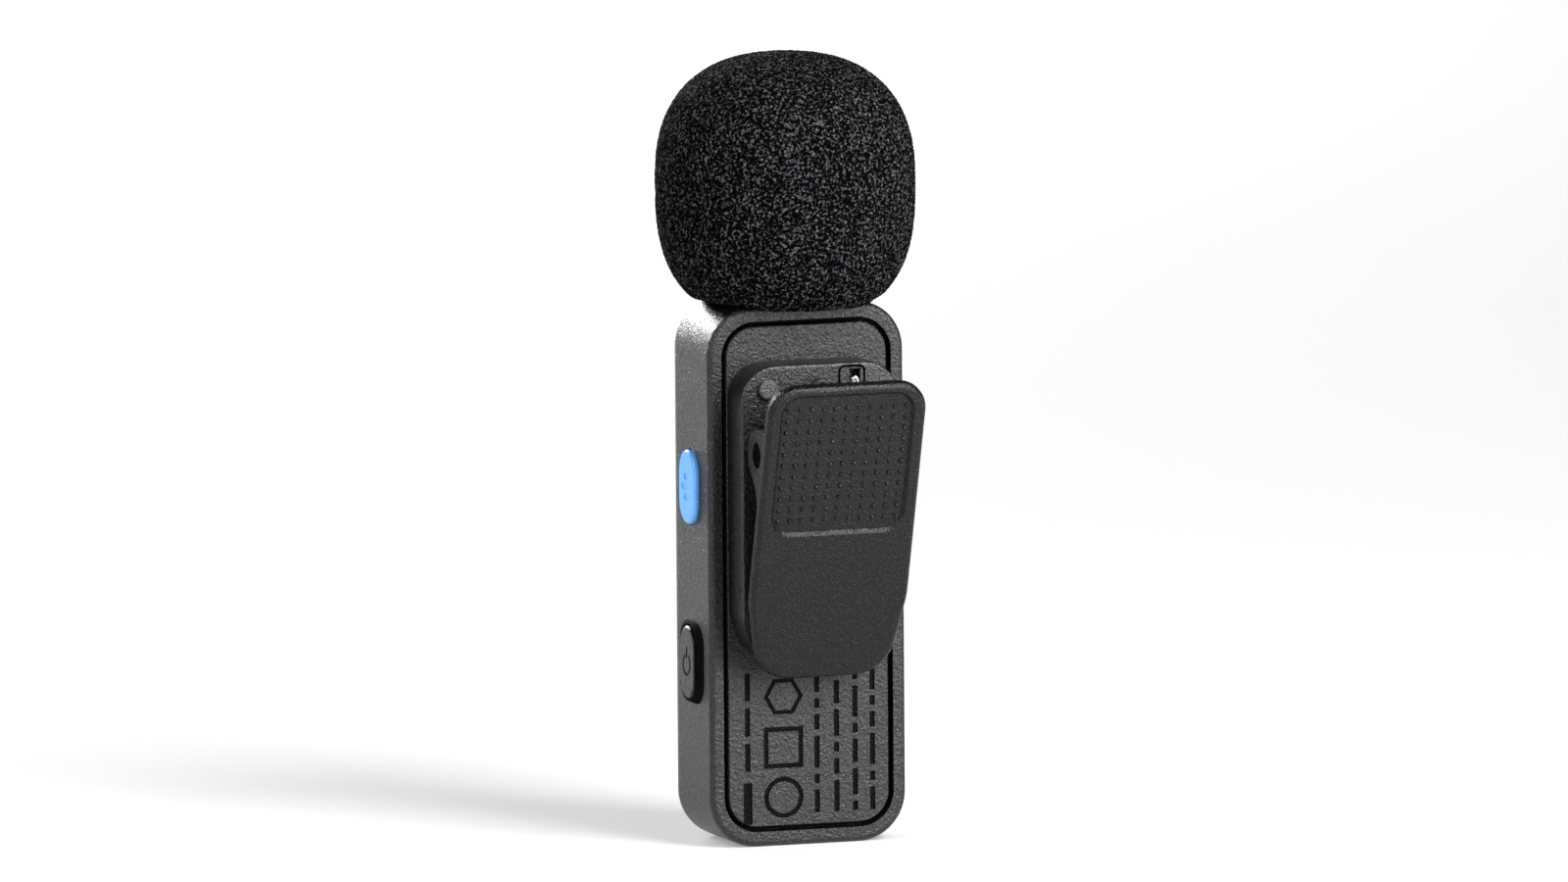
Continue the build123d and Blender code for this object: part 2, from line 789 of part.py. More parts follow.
# Width, height, thickness and place of each chip on the front of the board
chip_list = [
    (5.0, 5.0, 0.85, (0.2, 26.6)),
    (4.0, 4.0, 0.8, (-1.6, 34.6)),
    (3.0, 2.4, 0.7, (1.0, 19.4)),
    (2.0, 2.0, 0.7, (2.0, 8.6)),
    (2.4, 2.4, 1.1, (-1.6, 8.6)),
    (2.0, 1.6, 0.6, (-3.0, 30.4)),
]
passive_length = 1.0
passive_width = 0.5
passive_height = 0.5
passive_place = (0.2, 13.6)
passive_pitch_x = 1.8
passive_pitch_z = 1.4
passive_columns = 4
passive_rows = 3
with BuildPart() as board_chips:
    for chip_width, chip_length, chip_thickness, chip_place in chip_list:
        with BuildSketch(at_y(board_front_y)):
            with Locations(chip_place):
                Rectangle(chip_width, chip_length)
        extrude(amount=-chip_thickness)
    with BuildSketch(at_y(board_front_y)):
        with Locations(passive_place):
            with GridLocations(passive_pitch_x, passive_pitch_z, passive_columns, passive_rows):
                Rectangle(passive_length, passive_width)
    extrude(amount=-passive_height)
save(board_chips, "board_chips")

shield_width = 7.6
shield_length = 5.0
shield_height = 1.5
shield_wall = 0.2
shield_corner_radius = 0.5
shield_x = -1.6
shield_z = 36.2
with BuildPart() as rf_shield:
    with BuildSketch(at_y(board_back_y)):
        with Locations((shield_x, shield_z)):
            RectangleRounded(shield_width, shield_length, shield_corner_radius)
    extrude(amount=shield_height)
    with BuildSketch(at_y(board_back_y)):
        with Locations((shield_x, shield_z)):
            RectangleRounded(
                shield_width - 2 * shield_wall,
                shield_length - 2 * shield_wall,
                shield_corner_radius - shield_wall,
            )
    extrude(amount=shield_height - shield_wall, mode=Mode.SUBTRACT)
save(rf_shield, "rf_shield")

antenna_place = (5.5, 5.0)
antenna_width = 1.2
antenna_length = 3.2
antenna_height = 0.5
with BuildPart() as chip_antenna:
    with BuildSketch(at_y(board_back_y)):
        with Locations(antenna_place):
            Rectangle(antenna_width, antenna_length)
    extrude(amount=antenna_height)
save(chip_antenna, "chip_antenna")

led_length = 1.6
led_width = 0.8
led_height = 0.6
with BuildPart() as status_led:
    with BuildSketch(at_y(board_front_y)):
        with Locations((light_pipe_x, light_pipe_z)):
            Rectangle(led_length, led_width)
    extrude(amount=-led_height)
save(status_led, "status_led")

pipe_flange_radius = 1.0
pipe_flange_thickness = 0.5
pipe_to_led_gap = 0.2
pipe_inner_y = board_front_y + led_height + pipe_to_led_gap
with BuildPart() as light_pipe:
    with BuildSketch(at_y(front_y)):
        with Locations((light_pipe_x, light_pipe_z)):
            Circle(light_pipe_radius)
    extrude(amount=front_y - pipe_inner_y)
    with BuildSketch(at_y(cavity_floor_y)):
        with Locations((light_pipe_x, light_pipe_z)):
            Circle(pipe_flange_radius)
    extrude(amount=pipe_flange_thickness)
save(light_pipe, "light_pipe")

board_screw_head_radius = 1.2
board_screw_head_height = 0.7
board_screw_length = 2.4
with BuildPart() as board_screws:
    with BuildSketch(at_y(board_back_y)):
        with Locations(*board_screw_points):
            Circle(board_screw_head_radius)
    extrude(amount=board_screw_head_height)
    with BuildSketch(at_y(board_back_y)):
        with Locations(*board_screw_points):
            Circle(screw_pilot_radius - press_clearance)
    extrude(amount=-board_screw_length)
    with BuildSketch(at_y(board_back_y - board_screw_head_height)):
        with Locations(*board_screw_points):
            Rectangle(cross_length, cross_width)
            Rectangle(cross_width, cross_length)
    extrude(amount=-cross_depth, mode=Mode.SUBTRACT)
save(board_screws, "board_screws")

# ---------------------------------------------------------------- charging port

tongue_width = 6.7
tongue_thickness = 0.7
tongue_tip_z = 0.9
tongue_base_z = 6.1
port_leg_x = 2.5
port_leg_z = [2.8, 6.6]
port_leg_width = 0.8
port_end_z = port_setback + port_shell_length
port_shell_front_y = port_y + port_shell_height / 2
with BuildPart() as usb_shell:
    with BuildSketch(Plane.XY.offset(port_setback)):
        with Locations((0, port_y)):
            RectangleRounded(port_shell_width, port_shell_height, port_shell_radius)
            RectangleRounded(
                port_shell_width - 2 * port_shell_wall,
                port_shell_height - 2 * port_shell_wall,
                port_shell_radius - port_shell_wall,
                mode=Mode.SUBTRACT,
            )
    extrude(amount=port_shell_length)
    with BuildSketch(at_y(board_back_y)):
        with Locations(*[(side * port_leg_x, z) for side in (-1, 1) for z in port_leg_z]):
            Rectangle(port_leg_width, port_leg_width)
    extrude(amount=board_back_y - port_shell_front_y + port_shell_wall / 2)
save(usb_shell, "usb_shell")

with BuildPart() as usb_tongue:
    with BuildSketch(Plane.XY.offset(tongue_tip_z)):
        with Locations((0, port_y)):
            Rectangle(tongue_width, tongue_thickness)
    extrude(amount=tongue_base_z - tongue_tip_z)
    with BuildSketch(Plane.XY.offset(tongue_base_z)):
        with Locations((0, port_y)):
            RectangleRounded(
                port_shell_width - 2 * port_shell_wall - 2 * press_clearance,
                port_shell_height - 2 * port_shell_wall - 2 * press_clearance,
                port_shell_radius - port_shell_wall,
            )
    extrude(amount=port_end_z - tongue_base_z)
save(usb_tongue, "usb_tongue")

# ---------------------------------------------------------------- battery

battery_x = 1.6
battery_width = 9.4
battery_thickness = 3.2
battery_radius = 1.2
battery_bottom_z = 9.0
battery_top_z = 32.4
battery_front_y = -0.2
battery_y = battery_front_y - battery_thickness / 2
with BuildPart() as battery:
    with BuildSketch(Plane.XY.offset(battery_bottom_z)):
        with Locations((battery_x, battery_y)):
            RectangleRounded(battery_width, battery_thickness, battery_radius)
    extrude(amount=battery_top_z - battery_bottom_z)
save(battery, "battery")

battery_pad_margin = 2.0
with BuildPart() as battery_pad:
    with BuildSketch(at_y(board_back_y)):
        with Locations((battery_x, (battery_bottom_z + battery_top_z) / 2)):
            Rectangle(
                battery_width - 2 * battery_radius,
                battery_top_z - battery_bottom_z - 2 * battery_pad_margin,
            )
    extrude(amount=board_back_y - battery_front_y)
save(battery_pad, "battery_pad")

battery_lead_radius = 0.25
battery_lead_x = [3.4, 5.2]
battery_lead_bend = 0.8
battery_lead_rise_z = battery_top_z + 1.4
with BuildPart() as battery_leads:
    for lead_x in battery_lead_x:
        with BuildLine():
            FilletPolyline(
                (lead_x, battery_y, battery_top_z),
                (lead_x, battery_y, battery_lead_rise_z),
                (lead_x, board_back_y, battery_lead_rise_z),
                radius=battery_lead_bend,
            )
        with BuildSketch(Plane.XY.offset(battery_top_z)):
            with Locations((lead_x, battery_y)):
                Circle(battery_lead_radius)
        sweep()
save(battery_leads, "battery_leads")

# ---------------------------------------------------------------- microphone

neck_flange_width = 8.6
neck_flange_depth = 7.2
neck_flange_thickness = 0.9
neck_flange_corner_radius = 1.6
with BuildPart() as mic_neck:
    with BuildSketch(Plane.XY.offset(cavity_top_z)):
        RectangleRounded(neck_flange_width, neck_flange_depth, neck_flange_corner_radius)
    extrude(amount=-neck_flange_thickness)
    with BuildSketch(Plane.XY.offset(cavity_top_z)):
        Circle(neck_radius)
    extrude(amount=neck_top_z - cavity_top_z)
    with BuildSketch(Plane.XY.offset(cavity_top_z - neck_flange_thickness)):
        Circle(neck_bore_radius)
    extrude(amount=neck_top_z - cavity_top_z + neck_flange_thickness, mode=Mode.SUBTRACT)
save(mic_neck, "mic_neck")

boot_floor = 0.5
capsule_radius = 2.75
capsule_port_radius = 0.8
capsule_port_depth = 0.4
capsule_edge_radius = 0.2
mic_lead_x = 0.9
mic_lead_y = 0.15
mic_lead_radius = 0.2
mic_lead_points = [(-mic_lead_x, mic_lead_y), (mic_lead_x, mic_lead_y)]
with BuildPart() as capsule_boot:
    with BuildSketch(Plane.XY.offset(boot_floor_z)):
        Circle(neck_bore_radius - press_clearance)
    extrude(amount=boot_top_z - boot_floor_z)
    with BuildSketch(Plane.XY.offset(boot_floor_z + boot_floor)):
        Circle(capsule_radius + press_clearance)
    extrude(amount=boot_top_z - boot_floor_z - boot_floor, mode=Mode.SUBTRACT)
    with BuildSketch(Plane.XY.offset(boot_floor_z)):
        with Locations(*mic_lead_points):
            Circle(mic_lead_radius + press_clearance)
    extrude(amount=boot_floor, mode=Mode.SUBTRACT)
save(capsule_boot, "capsule_boot")

with BuildPart() as mic_capsule:
    with BuildSketch(Plane.XY.offset(boot_floor_z + boot_floor)):
        Circle(capsule_radius)
    extrude(amount=boot_top_z - boot_floor_z - boot_floor)
    fillet(mic_capsule.faces().sort_by(Axis.Z)[-1].edges(), capsule_edge_radius)
    with Locations((0, 0, boot_top_z)):
        Hole(capsule_port_radius, depth=capsule_port_depth)
save(mic_capsule, "mic_capsule")

mic_lead_bottom_z = 39.6
with BuildPart() as mic_leads:
    with BuildSketch(Plane.XY.offset(mic_lead_bottom_z)):
        with Locations(*mic_lead_points):
            Circle(mic_lead_radius)
    extrude(amount=boot_floor_z + boot_floor - mic_lead_bottom_z)
save(mic_leads, "mic_leads")

grille_edge_radius = 1.4
slot_count = 12
slot_width = 0.7
slot_height = 2.4
slot_z = 49.3
top_hole_radius = 0.35
top_hole_count = 6
top_hole_ring_radius = 1.5
with BuildPart() as mic_grille:
    with BuildSketch(Plane.XY.offset(neck_top_z)):
        Circle(neck_radius)
    extrude(amount=grille_top_z - neck_top_z)
    fillet(mic_grille.faces().sort_by(Axis.Z)[-1].edges(), grille_edge_radius)
    offset(amount=-grille_wall, openings=mic_grille.faces().sort_by(Axis.Z)[0])
    for turn in range(slot_count // 2):
        with BuildSketch(Plane.XZ.rotated((0, 0, turn * 360 / slot_count))):
            with Locations((0, slot_z)):
                SlotOverall(slot_height, slot_width, rotation=90)
        extrude(amount=neck_radius, both=True, mode=Mode.SUBTRACT)
    with BuildSketch(Plane.XY.offset(grille_top_z)):
        Circle(top_hole_radius)
        with PolarLocations(top_hole_ring_radius, top_hole_count):
            Circle(top_hole_radius)
    extrude(amount=-2 * grille_wall, mode=Mode.SUBTRACT)
save(mic_grille, "mic_grille")

mesh_thickness = 0.14
mesh_top_z = 50.7
mesh_radius = neck_radius - grille_wall - press_clearance
with BuildPart() as acoustic_mesh:
    with BuildSketch(Plane.XY.offset(neck_top_z)):
        Circle(mesh_radius)
    extrude(amount=mesh_top_z - neck_top_z)
    with BuildSketch(Plane.XY.offset(neck_top_z)):
        Circle(mesh_radius - mesh_thickness)
    extrude(amount=mesh_top_z - neck_top_z - mesh_thickness, mode=Mode.SUBTRACT)
save(acoustic_mesh, "acoustic_mesh")

# ---------------------------------------------------------------- foam windscreen

upper_angles = [0, 12, 25, 40, 55, 70, 82]
floor_height_share = (foam_centre_z - foam_bottom_z) / foam_half_height_down
floor_angle = degrees(asin(floor_height_share ** (foam_roundness_down / 2)))
lower_steps = 4
lower_angles = [floor_angle * step / lower_steps for step in range(lower_steps + 1)]
foam_floor_edge_radius = 0.9
bore_edge_radius = 1.0


def foam_outline(angles, half_height, roundness):
    """Points of the foam's outline, a superellipse, from its widest point towards a pole."""
    power = 2 / roundness
    points = []
    for angle in angles:
        across = foam_radius * cos(radians(angle)) ** power
        along = half_height * sin(radians(angle)) ** power
        points.append((across, foam_centre_z + along))
    return points


foam_top = (0, foam_centre_z + foam_half_height_up)
upper_points = foam_outline(upper_angles, foam_half_height_up, foam_roundness_up) + [foam_top]
lower_points = foam_outline(lower_angles, -foam_half_height_down, foam_roundness_down)

with BuildPart() as foam_windscreen:
    with BuildSketch(Plane.XZ):
        with BuildLine():
            Spline(*upper_points, tangents=[(0, 1), (-1, 0)])
            Spline(*lower_points)
            Polyline(lower_points[-1], (0, foam_bottom_z), foam_top)
        make_face()
    revolve(axis=Axis.Z)
    fillet(foam_windscreen.edges().group_by(Axis.Z)[0], foam_floor_edge_radius)
    with BuildSketch(Plane.XZ):
        with BuildLine():
            Polyline(
                (0, foam_bottom_z),
                (foam_bore_radius, foam_bottom_z),
                (foam_bore_radius, foam_bore_top_z),
                (0, foam_bore_top_z),
                close=True,
            )
        bore_profile = make_face()
        fillet(bore_profile.vertices().group_by(Axis.Y)[-1].sort_by(Axis.X)[-1], bore_edge_radius)
    revolve(axis=Axis.Z, mode=Mode.SUBTRACT)
save(foam_windscreen, "foam_windscreen")
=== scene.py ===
"""Looks of the clip-on wireless lavalier microphone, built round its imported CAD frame.

Everything is in metres in the frame of the CAD model: +Z up the case, -Y towards the clip,
-X towards the keys.
"""

import json
import math

import bmesh
import bpy
import numpy as np
from mathutils import Matrix, Vector, kdtree


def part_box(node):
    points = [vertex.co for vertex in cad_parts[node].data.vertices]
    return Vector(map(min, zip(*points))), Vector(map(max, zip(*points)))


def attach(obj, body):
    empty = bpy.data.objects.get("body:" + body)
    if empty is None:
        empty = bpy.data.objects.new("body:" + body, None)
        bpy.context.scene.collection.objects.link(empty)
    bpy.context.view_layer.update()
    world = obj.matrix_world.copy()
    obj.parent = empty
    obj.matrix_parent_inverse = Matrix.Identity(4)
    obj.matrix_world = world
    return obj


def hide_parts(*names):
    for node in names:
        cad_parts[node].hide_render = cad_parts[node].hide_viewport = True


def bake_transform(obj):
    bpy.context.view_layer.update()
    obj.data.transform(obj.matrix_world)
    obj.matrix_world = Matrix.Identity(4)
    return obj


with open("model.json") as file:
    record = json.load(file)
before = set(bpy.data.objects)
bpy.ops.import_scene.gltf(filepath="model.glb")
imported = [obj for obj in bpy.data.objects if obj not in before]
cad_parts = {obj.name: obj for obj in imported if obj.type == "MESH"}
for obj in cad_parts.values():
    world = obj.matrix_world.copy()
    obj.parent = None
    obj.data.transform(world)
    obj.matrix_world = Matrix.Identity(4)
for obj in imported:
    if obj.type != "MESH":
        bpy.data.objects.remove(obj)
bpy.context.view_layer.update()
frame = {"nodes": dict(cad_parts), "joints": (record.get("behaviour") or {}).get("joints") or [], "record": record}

MM = 0.001
SEED = 11

# ---------------------------------------------------------------- camera

TARGET = Vector((0, 0, 23)) * MM
CAMERA_AZIMUTH = -19.56
CAMERA_ELEVATION = 7.22
CAMERA_ROLL = 0.41
CAMERA_DISTANCE = 2.778
CAMERA_LENS = 781.3
FRAMING_RIGHT = -0.213 * MM
FRAMING_UP = 9.50 * MM
SENSOR_WIDTH = 36.0
CLIP_START = 0.1
CLIP_END = 20.0


def outward(azimuth, elevation):
    """Direction out from the microphone, in degrees; azimuth turns from the clip's side towards +X."""
    turn = math.radians(azimuth)
    rise = math.radians(elevation)
    return Vector((math.sin(turn) * math.cos(rise), -math.cos(turn) * math.cos(rise), math.sin(rise)))


def make_camera():
    """The camera at the photograph's viewing angle: a long lens, turned a little about its own axis."""
    roll = math.radians(CAMERA_ROLL)
    back = outward(CAMERA_AZIMUTH, CAMERA_ELEVATION)
    level_right = (-back).cross(Vector((0, 0, 1))).normalized()
    level_up = level_right.cross(-back)
    right = level_right * math.cos(roll) - level_up * math.sin(roll)
    up = level_right * math.sin(roll) + level_up * math.cos(roll)
    data = bpy.data.cameras.new("camera")
    data.lens = CAMERA_LENS
    data.sensor_width = SENSOR_WIDTH
    data.clip_start = CLIP_START
    data.clip_end = CLIP_END
    camera = bpy.data.objects.new("camera", data)
    place = TARGET + right * FRAMING_RIGHT + up * FRAMING_UP + back * CAMERA_DISTANCE
    turn = Matrix((right, up, back)).transposed().to_4x4()
    camera.matrix_world = Matrix.Translation(place) @ turn
    bpy.context.scene.collection.objects.link(camera)
    bpy.context.scene.camera = camera


# ---------------------------------------------------------------- node helpers

# How sharp an edge starts to look worn, and how sharp one is fully worn, as pointiness
EDGE_START = 0.53
EDGE_END = 0.62


class Shader:
    """A material under construction: a Principled surface with helpers for its procedural inputs."""

    def __init__(self, name):
        self.material = bpy.data.materials.new(name)
        self.material.use_nodes = True
        self.tree = self.material.node_tree
        self.surface = self.tree.nodes["Principled BSDF"]
        self.places = self.add("ShaderNodeTexCoord").outputs["Object"]

    def add(self, kind, **settings):
        node = self.tree.nodes.new(kind)
        for key, value in settings.items():
            setattr(node, key, value)
        return node

    def link(self, source, target):
        self.tree.links.new(source, target)

    def set(self, **values):
        for key, value in values.items():
            self.surface.inputs[key.replace("_", " ")].default_value = value

    def noise(self, size, detail, stretch=(1, 1, 1)):
        """Noise with features of about the given size in metres, stretched along an axis if asked."""
        mapping = self.add("ShaderNodeMapping")
        mapping.inputs["Scale"].default_value = [1 / (size * s) for s in stretch]
        texture = self.add("ShaderNodeTexNoise")
        texture.inputs["Scale"].default_value = 1.0
        texture.inputs["Detail"].default_value = detail
        self.link(self.places, mapping.inputs["Vector"])
        self.link(mapping.outputs["Vector"], texture.inputs["Vector"])
        return texture.outputs["Fac"]

    def cells(self, size, randomness):
        """Cell pattern with cells of about the given size in metres."""
        mapping = self.add("ShaderNodeMapping")
        mapping.inputs["Scale"].default_value = [1 / size] * 3
        texture = self.add("ShaderNodeTexVoronoi")
        texture.inputs["Scale"].default_value = 1.0
        texture.inputs["Randomness"].default_value = randomness
        self.link(self.places, mapping.inputs["Vector"])
        self.link(mapping.outputs["Vector"], texture.inputs["Vector"])
        return texture.outputs["Distance"]

    def spread(self, value, low, high, start=0.3, end=0.7):
        """A value between start and end mapped onto low to high."""
        node = self.add("ShaderNodeMapRange")
        self.link(value, node.inputs["Value"])
        node.inputs["From Min"].default_value = start
        node.inputs["From Max"].default_value = end
        node.inputs["To Min"].default_value = low
        node.inputs["To Max"].default_value = high
        return node.outputs["Result"]

    def between(self, share, first, second):
        """A colour that goes from the first to the second as share goes from 0 to 1."""
        node = self.add("ShaderNodeMix", data_type="RGBA")
        self.link(share, node.inputs["Factor"])
        sockets = [socket for socket in node.inputs if socket.type == "RGBA"]
        for socket, colour in zip(sockets, (first, second)):
            if isinstance(colour, tuple):
                socket.default_value = (*colour, 1.0)
            else:
                self.link(colour, socket)
        return next(socket for socket in node.outputs if socket.type == "RGBA")

    def product(self, first, second):
        """The first value times the second, which may be a plain number."""
        node = self.add("ShaderNodeMath", operation="MULTIPLY")
        self.link(first, node.inputs[0])
        if isinstance(second, float):
            node.inputs[1].default_value = second
        else:
            self.link(second, node.inputs[1])
        return node.outputs["Value"]

    def bump(self, height, depth, strength=1.0):
        """Surface relief of the given depth in metres."""
        node = self.add("ShaderNodeBump")
        node.inputs["Strength"].default_value = strength
        node.inputs["Distance"].default_value = depth
        self.link(height, node.inputs["Height"])
        return node.outputs["Normal"]

    def reach(self, direction):
        """How far a point lies along a direction, in metres from the origin of the frame."""
        node = self.add("ShaderNodeVectorMath", operation="DOT_PRODUCT")
        self.link(self.places, node.inputs[0])
        node.inputs[1].default_value = direction
        return node.outputs["Value"]

    def edges(self):
        """How far a point lies on a raised edge, from 0 to 1."""
        pointiness = self.add("ShaderNodeNewGeometry").outputs["Pointiness"]
        return self.spread(pointiness, 0.0, 1.0, EDGE_START, EDGE_END)

    def finish(self, colour, roughness, normal):
        self.link(colour, self.surface.inputs["Base Color"])
        self.link(roughness, self.surface.inputs["Roughness"])
        self.link(normal, self.surface.inputs["Normal"])
        return self.material


def scaled(colour, factor):
    return tuple(min(1.0, channel * factor) for channel in colour)


def grey(level):
    return (level, level, level)


# ---------------------------------------------------------------- finishes

CLOUD_SIZE = 3.0 * MM
CLOUD_BRIGHTNESS = 1.25
WORN_BRIGHTNESS = 2.2
# How dark the painted shade in recesses is, and the distance over which it fades in
PAINTED_SHADE_SHARE = 0.1
PAINTED_SHADE_BLEND = 0.02 * MM
SCRATCHES = 0.35
STRUT_SIZE = 0.24 * MM
STRUT_RELIEF = 0.05 * MM
STRUT_BREAKS = 0.13 * MM


def moulded(
    name,
    colour,
    roughness=0.31,
    grain=0.2 * MM,
    depth=0.13 * MM,
    speckle=1.2,
    wear=0.25,
    gloss=0.5,
    painted_shade_from=None,
):
    """Moulded plastic with a spark-eroded grain, faint cloudiness, and edges rubbed a little lighter.

    The last argument is a direction and a distance along it past which the plastic is painted
    nearly black and its reflection dimmed: painted shade for recesses and hollows.
    """
    shader = Shader(name)
    fine = shader.noise(grain, 3.0)
    broad = shader.noise(CLOUD_SIZE, 3.0)
    raised = shader.spread(fine, 0.0, 1.0, 0.45, 0.7)
    body = shader.between(raised, scaled(colour, 1 - speckle / 4), scaled(colour, 1 + 4 * speckle))
    clouded = shader.between(shader.spread(broad, 0.0, 0.25), body, scaled(colour, CLOUD_BRIGHTNESS))
    worn = shader.between(shader.product(shader.edges(), wear), clouded, scaled(colour, WORN_BRIGHTNESS))
    rough = shader.spread(fine, roughness + 0.12, roughness - 0.1)
    shader.set(Specular_IOR_Level=gloss)
    # Painted shade: past the given distance along the direction the colour is painted nearly black and the
    # reflection dimmed
    if painted_shade_from is not None:
        direction, start = painted_shade_from
        painted_shade = shader.spread(shader.reach(direction), 0.0, 1.0, start, start + PAINTED_SHADE_BLEND)
        worn = shader.between(painted_shade, worn, scaled(colour, PAINTED_SHADE_SHARE))
        reflection_shade = shader.between(painted_shade, grey(1.0), grey(PAINTED_SHADE_SHARE))
        shader.link(reflection_shade, shader.surface.inputs["Specular Tint"])
    return shader.finish(worn, rough, shader.bump(fine, depth))


def rubbery(name, colour, roughness=0.75, gloss=0.2):
    """Soft rubber: matte, with a fine even grain and a little dust in the low spots."""
    shader = Shader(name)
    fine = shader.noise(0.09 * MM, 2.0)
    dust = shader.noise(0.8 * MM, 4.0)
    body = shader.between(shader.spread(dust, 0.0, 0.5, 0.55, 0.8), colour, scaled(colour, 2.5))
    shader.set(Specular_IOR_Level=gloss)
    rough = shader.spread(fine, roughness, roughness + 0.12)
    return shader.finish(body, rough, shader.bump(fine, 0.008 * MM))


def metal(name, colour, roughness, along=(1, 1, 12)):
    """Drawn or brushed metal: fine lines along one axis, and small changes in brightness."""
    shader = Shader(name)
    lines = shader.noise(0.05 * MM, 2.0, along)
    broad = shader.noise(1.5 * MM, 2.0)
    body = shader.between(shader.spread(broad, 0.0, 1.0), scaled(colour, 0.85), colour)
    shader.set(Metallic=1.0)
    rough = shader.spread(lines, roughness * (1 - SCRATCHES), roughness * (1 + SCRATCHES))
    return shader.finish(body, rough, shader.bump(lines, 0.003 * MM))


def painted(name, colour, roughness):
    """Oxide or paint on steel: dark, with fine pitting and bright worn edges."""
    shader = Shader(name)
    fine = shader.noise(0.07 * MM, 3.0)
    body = shader.between(shader.product(shader.edges(), 0.5), colour, (0.25, 0.25, 0.26))
    shader.set(Metallic=0.6)
    rough = shader.spread(fine, roughness, roughness + 0.2)
    return shader.finish(body, rough, shader.bump(fine, 0.006 * MM))


def glossy(name, colour, second, roughness):
    """Smooth plastic, ceramic or lacquer with a slow change between two tones."""
    shader = Shader(name)
    slow = shader.noise(0.4 * MM, 3.0)
    body = shader.between(shader.spread(slow, 0.0, 1.0), colour, second)
    rough = shader.spread(slow, roughness, roughness + 0.1)
    return shader.finish(body, rough, shader.bump(slow, 0.004 * MM))


def clear(name, colour):
    """Clear moulded plastic, slightly frosted at its face."""
    shader = Shader(name)
    fine = shader.noise(0.1 * MM, 2.0)
    shader.set(Transmission_Weight=0.85, IOR=1.49)
    body = shader.between(shader.spread(fine, 0.0, 1.0), colour, scaled(colour, 0.9))
    return shader.finish(body, shader.spread(fine, 0.12, 0.22), shader.bump(fine, 0.003 * MM))


def woven(name, colour):
    """Fine acoustic mesh: threads over and under, as a regular relief."""
    shader = Shader(name)
    threads = shader.cells(0.09 * MM, 0.05)
    body = shader.between(shader.spread(threads, 0.0, 1.0, 0.1, 0.6), scaled(colour, 2.5), colour)
    shader.set(Sheen_Weight=0.2)
    return shader.finish(body, shader.spread(threads, 0.7, 0.9, 0.0, 0.7), shader.bump(threads, 0.02 * MM))


def foamy(name, dark, light):
    """Open-cell foam: nearly black, with a painted highlight on the crooked struts of its raised parts and painted
    shade in the pores.
    """
    shader = Shader(name)
    height = shader.add("ShaderNodeAttribute", attribute_name="pore_height").outputs["Fac"]
    struts = shader.spread(shader.noise(STRUT_SIZE, 1.5), 0.0, 1.0, 0.5, 0.66)
    broken = shader.spread(shader.noise(STRUT_BREAKS, 2.0), 0.15, 1.0, 0.42, 0.6)
    lit = shader.product(struts, broken)
    # Painted shade: struts low in the pores get less of the painted highlight
    raised = shader.product(lit, shader.spread(height, 0.35, 1.0, 0.3, 0.75))
    # Almost no reflection, so the painted highlight on the struts stands in for the light they catch
    shader.set(IOR=1.05)
    rough = shader.spread(raised, 0.9, 0.6, 0.0, 1.0)
    return shader.finish(shader.between(raised, dark, light), rough, shader.bump(struts, STRUT_RELIEF, 0.8))


BLACK_CASE = (0.0012, 0.0012, 0.0013)
BLACK_LEVER = (0.0015, 0.0015, 0.0016)
BLACK_FOAM = (0.001, 0.001, 0.0011)
# Painted highlight on the foam's struts, in place of the light they catch
FOAM_STRUT_HIGHLIGHT = (0.1, 0.1, 0.103)
KEY_BLUE = (0.11, 0.385, 0.96)
# Painted shade: direction and distance past which plastic is painted nearly black, on the cover's marks and its
# sides in the groove, and on the power key's sides and mark
MARK_FLOOR_SHADE = ((0, 1, 0), -5.04 * MM)
KEY_WALL_SHADE = ((1, 0, 0), -8.86 * MM)
ALONG_X = (12, 1, 1)
ALONG_Y = (1, 12, 1)
# Grain and its depth on small plastic parts inside the case
SMALL_GRAIN = {"grain": 0.08 * MM, "depth": 0.004 * MM}

